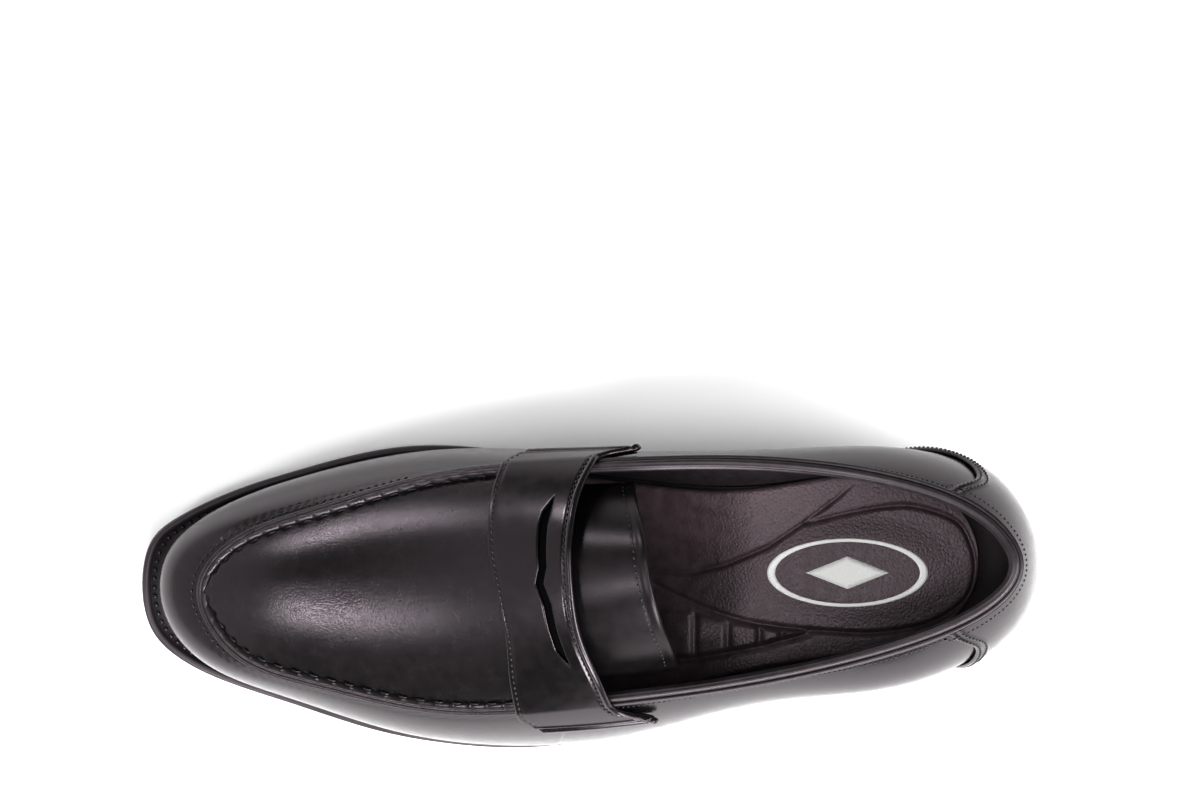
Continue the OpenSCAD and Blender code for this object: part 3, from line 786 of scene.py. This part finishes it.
def build_piping():
    """The raised seam: two lobes of leather side by side, the inner one pinched by stitches."""
    length = SEAM_LENGTH
    shape = np.array([(-0.6, -1.2), (-0.3, -0.2), (-0.1, 0.55), (0.15, 0.95), (0.45, 1.05),
                      (0.7, 0.9), (0.8, 0.7), (0.9, 0.92), (1.15, 1.12), (1.45, 1.05),
                      (1.65, 0.8), (1.78, 0.42), (1.95, 0.75), (2.3, 1.1), (2.75, 1.15),
                      (3.2, 0.9), (3.5, 0.4), (3.65, -0.2), (3.8, -1.2), (1.7, -1.6)])
    profile = np.tile(shape, (len(length), 1, 1))
    lobe = np.clip((shape[:, 0] - 1.75) / 0.8, 0, 1) * (shape[:, 1] > -0.5)
    pinch = pulse(length[:, None] + 1.1 * shape[None, :, 0], 0.8) * lobe
    profile[:, :, 1] -= 0.32 * pinch
    profile[:, :, 0] -= 0.22 * pinch
    profile[:, :, 0] -= 1.3
    sweep("apron_seam_ridge", SEAM, SEAM_IN, SEAM_UP, profile, RIDGE,
          ("apron_piping",), taper=1.5)
    groove = SEAM + SEAM_IN * 2.75 - SEAM_UP * 0.35
    a, (up,) = even(groove, [SEAM_UP], STITCH)
    b, _ = even(groove, [], STITCH, 0.6)
    threads("apron_thread_row", a, b, unit(up), 0.36, 0.5, THREAD,
            ("apron_stitches",))


def build_outer_stitches():
    """The fine row on the wall, just outside the ridge."""
    phi = np.linspace(-62, 24, 1200)
    mark = wall(phi, 0.9) - lift(plan(TOP, phi), round_shoe(TOP_Z, phi))
    v = 1 - 0.1 * 3.4 / np.linalg.norm(mark, axis=-1)
    row("vamp_thread_row", wall, phi, v, 2.6, 0.3, 0.12, THREAD, share=0.6)


def build_counter():
    u = -1 + 2 * ends_in(150)
    v = lerp(0.0, 0.975, ends_in(60))
    edge = np.where(u[:, None] < 0, upward(COUNTER_LATERAL, v), upward(COUNTER_MEDIAL, v))
    base = wall(180 + u[:, None] * (180 - edge), v[None])
    length = run_length(base, 0)
    near = np.minimum(length, length[-1:] - length)
    relief = 0.3 * np.exp(-((near - 1.3) / 0.7) ** 2) + 0.3 * np.exp(-((near - 3.7) / 0.7) ** 2)
    relief -= 0.2 * np.exp(-((near - 2.5) / 0.5) ** 2)
    sheet("heel_counter", base, 0.0, 1.25, (0.7, 0.7, 0, 0), POLISHED,
          ("counter_patch",), relief)
    rows = []
    for side in (-1, 1):
        for inset in (1.3, 3.7):
            vs = np.linspace(0.02, 0.955, 900)
            edge = 180 - upward(COUNTER_LATERAL if side < 0 else COUNTER_MEDIAL, vs)
            rows.append((side, inset, vs, edge))
    starts, ends, ups = [], [], []
    for side, inset, vs, edge in rows:
        one_degree = wall(180 + side * edge, vs) - wall(180 + side * (edge - 1), vs)
        mm_per_degree = np.linalg.norm(one_degree, axis=-1)
        points, n = frame_on(wall, 180 + side * (edge - inset / mm_per_degree), vs)
        points = points + n * 1.6
        a, (na,) = even(points, [n], 1.7)
        b, _ = even(points, [n], 1.7, 0.66)
        starts.append(a)
        ends.append(b)
        ups.append(unit(na))
    threads("counter_thread_rows", np.concatenate(starts), np.concatenate(ends),
            np.concatenate(ups), 0.4, 0.35, THREAD, ("counter_stitches",))


def build_topline():
    """The rolled edge of the opening, with a second small cord outside it."""
    phi = np.linspace(SIDE_SEAM - 3, 363 - SIDE_SEAM, 900)
    p, n = frame_on(wall, phi, np.full(len(phi), 0.995))
    tangent = unit(np.gradient(p, axis=0))
    up = unit(np.cross(tangent, n))
    up = np.where(up[:, 2:] < 0, -up, up)
    a = np.radians(np.linspace(0, 360, 37)[:-1])
    rib = 1 - 0.15 * (np.exp(-((a - 1.1) / 0.17) ** 2) + np.exp(-((a - 1.85) / 0.17) ** 2))
    roll = np.stack([-1.5 + 1.85 * rib * np.cos(a), 0.25 + 1.5 * rib * np.sin(a)], -1)
    sweep("topline_roll", p, n, up, roll[None], BINDING, ("topline_binding",),
          taper=1.5)
    cord = np.stack([0.35 + 0.75 * np.cos(a), -1.35 + 0.8 * np.sin(a)], -1)
    sweep("topline_cord", p, n, up, cord[None], BINDING, taper=1.0)
    edge = 180 - upward(COUNTER_LATERAL, 0.955)
    on_patch = smooth((edge + 1.5 - np.abs(phi - 180)) / 1.5)
    row("topline_thread_row", wall, phi, np.full(len(phi), 0.93), 1.7, 0.32,
        1.32 * on_patch - 0.2 * (1 - on_patch), THREAD, ("topline_stitches",))


SLOT_RIM = 0.4        # radius of the slot's edge


def build_strap():
    """The saddle strap with its bent slot. Rows ahead of the slot and behind it meet where
    there is no slot, and their gap is the opening."""
    b = np.concatenate([-1 + 0.04 * ends_in(4)[:8], np.linspace(-0.955, 0.955, 260),
                        1 - 0.04 * ends_in(4)[:8][::-1]])
    slot_b = np.array((-0.47, -0.40, -0.33, -0.12, -0.035, 0.08, 0.2, 0.33, 0.41))
    slot_s = np.array((0.73, 0.68, 0.655, 0.65, 0.585, 0.65, 0.655, 0.68, 0.74))
    slot_w = np.array((0.0, 0.09, 0.1, 0.095, 0.1, 0.1, 0.1, 0.095, 0.0))
    middle = np.interp(b, slot_b, slot_s)
    open_w = np.interp(b, slot_b, slot_w, left=0, right=0)
    front = ends_in(26)
    rows = np.concatenate([front[None] * (middle - open_w / 2)[:, None],
                           (middle + open_w / 2)[:, None]
                           + front[None] * (1 - middle - open_w / 2)[:, None]], 1)
    base = strap_at(b[:, None], rows)
    rim_b = np.linspace(slot_b[0], slot_b[-1], 200)
    rim = np.concatenate([strap_at(rim_b, np.interp(rim_b, slot_b, slot_s - slot_w / 2)),
                          strap_at(rim_b, np.interp(rim_b, slot_b, slot_s + slot_w / 2))])
    dist, _ = nearest(rim, base)
    factor = np.sqrt(np.maximum(0, 1 - (1 - np.clip(dist / SLOT_RIM, 0, 1)) ** 2))
    gap = np.zeros((base.shape[0] - 1, base.shape[1] - 1), bool)
    gap[:, len(front) - 1] = True
    length = run_length(base, 1)
    rear = length[:, -1:] - length
    relief = 0.55 * np.exp(-((rear - 1.2) / 0.9) ** 2) - 0.35 * np.exp(-((rear - 2.7) / 0.45) ** 2)
    relief -= 0.18 * np.exp(-((length - 1.6) / 0.5) ** 2)
    along = run_length(base, 0)
    end = np.minimum(along, along[-1:] - along)
    relief += 0.45 * np.exp(-((end - 1.4) / 1.0) ** 2) - 0.4 * np.exp(-((end - 3.4) / 0.5) ** 2)
    relief += 0.3 * np.exp(-((end - 4.8) / 0.9) ** 2)
    flare = smooth((np.abs(b) - 0.9) / 0.1)[:, None] * smooth((rows - 0.55) / 0.45) * 0.3
    n = normals(base)
    base = base + n * flare[..., None]
    sheet("saddle_strap", base, STRAP_LIFT, STRAP_LIFT + STRAP_THICK, (0.7, 0.7, 0.7, 0.7), STRAP,
          ("strap",), relief, (factor, gap))
    top = STRAP_LIFT + STRAP_THICK
    path = np.linspace(-0.98, 0.98, 1500)
    for name, s, h in (("strap_front_thread", 0.055, 0.0), ("strap_rear_thread", 0.905, -0.1)):
        row(name, strap_at, path, np.full(len(path), s), 2.1, 0.27, top + h,
            THREAD, ("strap_stitches",) if s < 0.5 else ())


def build_tongue():
    t = -1 + 2 * ends_in(120)
    s = ends_in(60)
    rear = across(TONGUE_REAR, t)
    phi = lerp(TONGUE_FRONT, rear[:, None], s[None])
    base = tongue_at(t[:, None], phi)
    length = run_length(base, 1)
    back = length[:, -1:] - length
    relief = 0.16 * np.exp(-((back - 1.6) / 1.3) ** 2) - 0.16 * np.exp(-((back - 3.4) / 0.6) ** 2)
    piece = sheet("tongue_leather_piece", base, TONGUE_UNDER - TONGUE_THICK, TONGUE_UNDER,
                  (0.8,) * 4, TONGUE, ("tongue", "tongue_base"), relief, body=None)
    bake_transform(piece)
    t = np.linspace(-0.96, 0.96, 900)
    edge = across(TONGUE_REAR, t)
    row("tongue_thread_row", tongue_at, t, edge - 1.8, 2.3, 0.3,
        TONGUE_UNDER + 0.1, THREAD, ("tongue_stitches",), body="tongue")


# ---------------------------------------------------------------- inside
def build_lining():
    phi = np.linspace(SIDE_SEAM - 6, 366 - SIDE_SEAM, 260)
    v = np.linspace(0.01, 0.965, 60)
    base = wall(phi[:, None], v[None])
    heel = smooth((60 - np.abs(phi - 180)) / 45)[:, None]
    pad = 1.2 * np.exp(-((v - 0.84) / 0.09) ** 2)[None] + 7.5 * np.exp(-(v / 0.16) ** 2)[None] * heel
    sheet("collar_lining", base - normals(base) * pad[..., None], -3.3, -2.5, (0, 0, 0, 0), LINING,
          ("quarter_lining",))


# The leaf-shaped line pressed into the footbed, from its front end round the heel.
LEAF_X = (-5, -1.5, 2, 5.6, 8.7, 10.8, 12, 12.1, 9, 1.2, -9, -19, -25.7, -30, -30.3, -28, -24.6)
LEAF_Y = (22, 29, 36.5, 45.5, 57, 71.5, 86, 100, 116.5, 128.5, 132, 130, 125, 113, 103, 89, 75)
LEAF_STEPS = np.linspace(0, len(LEAF_X) - 1, 400)
LEAF = np.stack([spline(LEAF_X, LEAF_STEPS), spline(LEAF_Y, LEAF_STEPS)], -1)


def footbed_relief(x, y):
    """Height of the moulded cushions over the footbed's plane, in millimetres."""
    ellipse = np.sqrt(((y - 92) / 38) ** 2 + ((x + 9.3) / 19) ** 2)
    from_line, _ = nearest(LEAF, np.stack([x, y], -1))
    z = 0.8 * smooth((1 - ellipse) / 0.5)
    z -= 1.0 * np.exp(-(from_line / 0.8) ** 2) * smooth((y - 20) / 8)
    s_curve = np.interp(y, (20, 36, 48, 62, 74, 86, 96),
                        (-8.5, -7.5, -10.5, -16.5, -24.5, -33.5, -42.5))
    z -= 1.0 * np.exp(-((x - s_curve) / 0.85) ** 2) * smooth((92 - y) / 6)
    lower = np.interp(y, (36, 60, 80), (21.5, 17, 11.5))
    upper = np.interp(y, (36, 50, 66), (4.5, 8, 10.5))
    pads = smooth((x - upper) / 2) * smooth((lower - x) / 2)
    pads *= smooth((y - 24) / 4) * smooth((78 - y) / 6)
    for bar in (38, 49, 59.5, 67):
        z -= 1.2 * pads * np.exp(-((y - bar) / 1.0) ** 2)
    z -= 1.1 * np.exp(-((x - lower) / 1.1) ** 2) * smooth((y - 26) / 5) * smooth((80 - y) / 6)
    return z + 0.9 * pads


HEEL_CUP = 4.0


def build_footbed():
    toe_y, heel_y, *rest = shrink(FEATHER, 3.6)
    curve = (toe_y, heel_y - HEEL_CUP, *rest)
    phi = np.linspace(5, 176.5, 620)
    t = -1 + 2 * ends_in(150)
    l, r = plan(curve, phi), plan(curve, -phi)
    flat = lerp(r[:, None], l[:, None], ((t + 1) / 2)[None, :, None])
    x, y = flat[..., 0], flat[..., 1]
    z = sole_top(y) + 4.3
    base = lift(flat, z)[:, ::-1]
    relief = footbed_relief(x, y)[:, ::-1]
    piece = sheet("moulded_footbed", base, -2.1, 0.5, (1.2, 1.2, 1.6, 1.6), FOOTBED,
                  ("footbed",), relief)


def build_badge():
    """A plain oval badge with a diamond, printed on the footbed."""
    cx, cy = -8.0, 89.0
    ang = np.radians(np.linspace(0, 360, 181)[:-1])

    def ring(name, shape, inner, outer, nodes=()):
        rings = []
        for k in np.linspace(inner, outer, 4):
            x, y = cx + shape(ang)[0] * k, cy + shape(ang)[1] * k
            rings.append((x, y))
        x = np.stack([r[0] for r in rings], 1)
        y = np.stack([r[1] for r in rings], 1)
        z = sole_top(y) + 4.8 + footbed_relief(x, y) + 0.06
        top = lift(np.stack([x, y], -1), z)
        low = top - (0, 0, 0.25)
        full = np.concatenate([top, low[:, ::-1], top[:, :1]], 1)
        make(name, full.reshape(-1, 3), grid_quads(len(full), full.shape[1], closed=True), PRINT,
             nodes)

    def oval(a):
        return 11.5 * np.cos(a), 27.0 * np.sin(a)

    def diamond(a):
        return (5.5 * np.sign(np.cos(a)) * np.abs(np.cos(a)) ** 2,
                14.0 * np.sign(np.sin(a)) * np.abs(np.sin(a)) ** 2)

    ring("badge_oval", oval, 0.9, 1.0, ("footbed_badge",))
    ring("badge_diamond", diamond, 0.0, 1.0)


build_sole()
build_welt()
build_heel()
build_wall()
build_apron()
build_piping()
build_outer_stitches()
build_counter()
build_topline()
build_strap()
build_tongue()
build_lining()
build_footbed()
build_badge()


# ---------------------------------------------------------------- stage, light, camera
def area(name, place, aim, size, power):
    """A rectangular lamp, in metres and watts, that faces a point."""
    data = bpy.data.lights.new(name, "AREA")
    data.shape = "RECTANGLE"
    data.size, data.size_y = size
    data.energy = power
    lamp = bpy.data.objects.new(name, data)
    bpy.context.scene.collection.objects.link(lamp)
    lamp.location = place
    direction = Vector(aim) - Vector(place)
    lamp.rotation_euler = direction.to_track_quat("-Z", "Y").to_euler()


FLOOR_HALF = 4


def build_stage():
    """A pale paper floor."""
    mesh = bpy.data.meshes.new("floor")
    half = FLOOR_HALF
    corners = [(-half, -half, 0), (half, -half, 0), (half, half, 0), (-half, half, 0)]
    mesh.from_pydata(corners, [], [(0, 1, 2, 3)])
    floor = bpy.data.objects.new("floor", mesh)
    bpy.context.scene.collection.objects.link(floor)
    look, tree, shader, where = material("floor_paper")
    fleck = add(tree, "ShaderNodeTexNoise", {"Vector": where, "Scale": 3.0})
    tree.links.new(mix_colour(tree, fleck.outputs["Fac"], (0.86, 0.86, 0.86), (0.9, 0.9, 0.9)),
                   shader.inputs["Base Color"])
    shader.inputs["Roughness"].default_value = 0.55
    mesh.materials.append(look)


SURROUND_TOE = 1.35
SURROUND_REST = 0.2


def build_light():
    """A white surround, brighter towards the toe, and five lamps."""
    world = bpy.data.worlds.new("studio")
    world.use_nodes = True
    tree = world.node_tree
    back = tree.nodes["Background"]
    where = add(tree, "ShaderNodeTexCoord")
    axis = add(tree, "ShaderNodeSeparateXYZ", {"Vector": where.outputs["Generated"]})
    tree.links.new(ramp(tree, axis.outputs["Y"], SURROUND_TOE, SURROUND_REST, -0.74, -0.48),
                   back.inputs["Strength"])
    back.inputs["Color"].default_value = (1, 1, 1, 1)
    bpy.context.scene.world = world
    toe = (-0.008, -0.09, 0.06)
    area("toe_medial", (-1.53, -0.97, 1.02), toe, (0.3, 0.3), 15)
    area("toe_lateral", (0.68, -0.95, 1.72), toe, (0.3, 0.3), 15)
    area("key", (1.5, 0.45, 1.15), (0, 0, 0.05), (1.4, 0.8), 85)
    area("heel_back", (0.5, 1.7, 1.2), (0, 0.1, 0.05), (1.2, 0.8), 50)
    area("overhead", (0.1, 0.15, 2.2), (0, 0.1, 0), (0.8, 0.8), 16)


CAMERA_PLACE = (-0.066, 0.0059, 1.2)
LENS = 104.05
VIEW_GAMMA = 0.8


def build_camera():
    """Straight above, with the toe to the left of the frame, as in the photograph."""
    data = bpy.data.cameras.new("camera")
    data.sensor_width = 36
    data.lens = LENS
    camera = bpy.data.objects.new("camera", data)
    camera.location = CAMERA_PLACE
    camera.rotation_euler = (0, 0, math.pi / 2)
    bpy.context.scene.collection.objects.link(camera)
    bpy.context.scene.camera = camera
    bpy.context.scene.view_settings.view_transform = "Standard"
    bpy.context.scene.view_settings.gamma = VIEW_GAMMA


build_stage()
build_light()
build_camera()
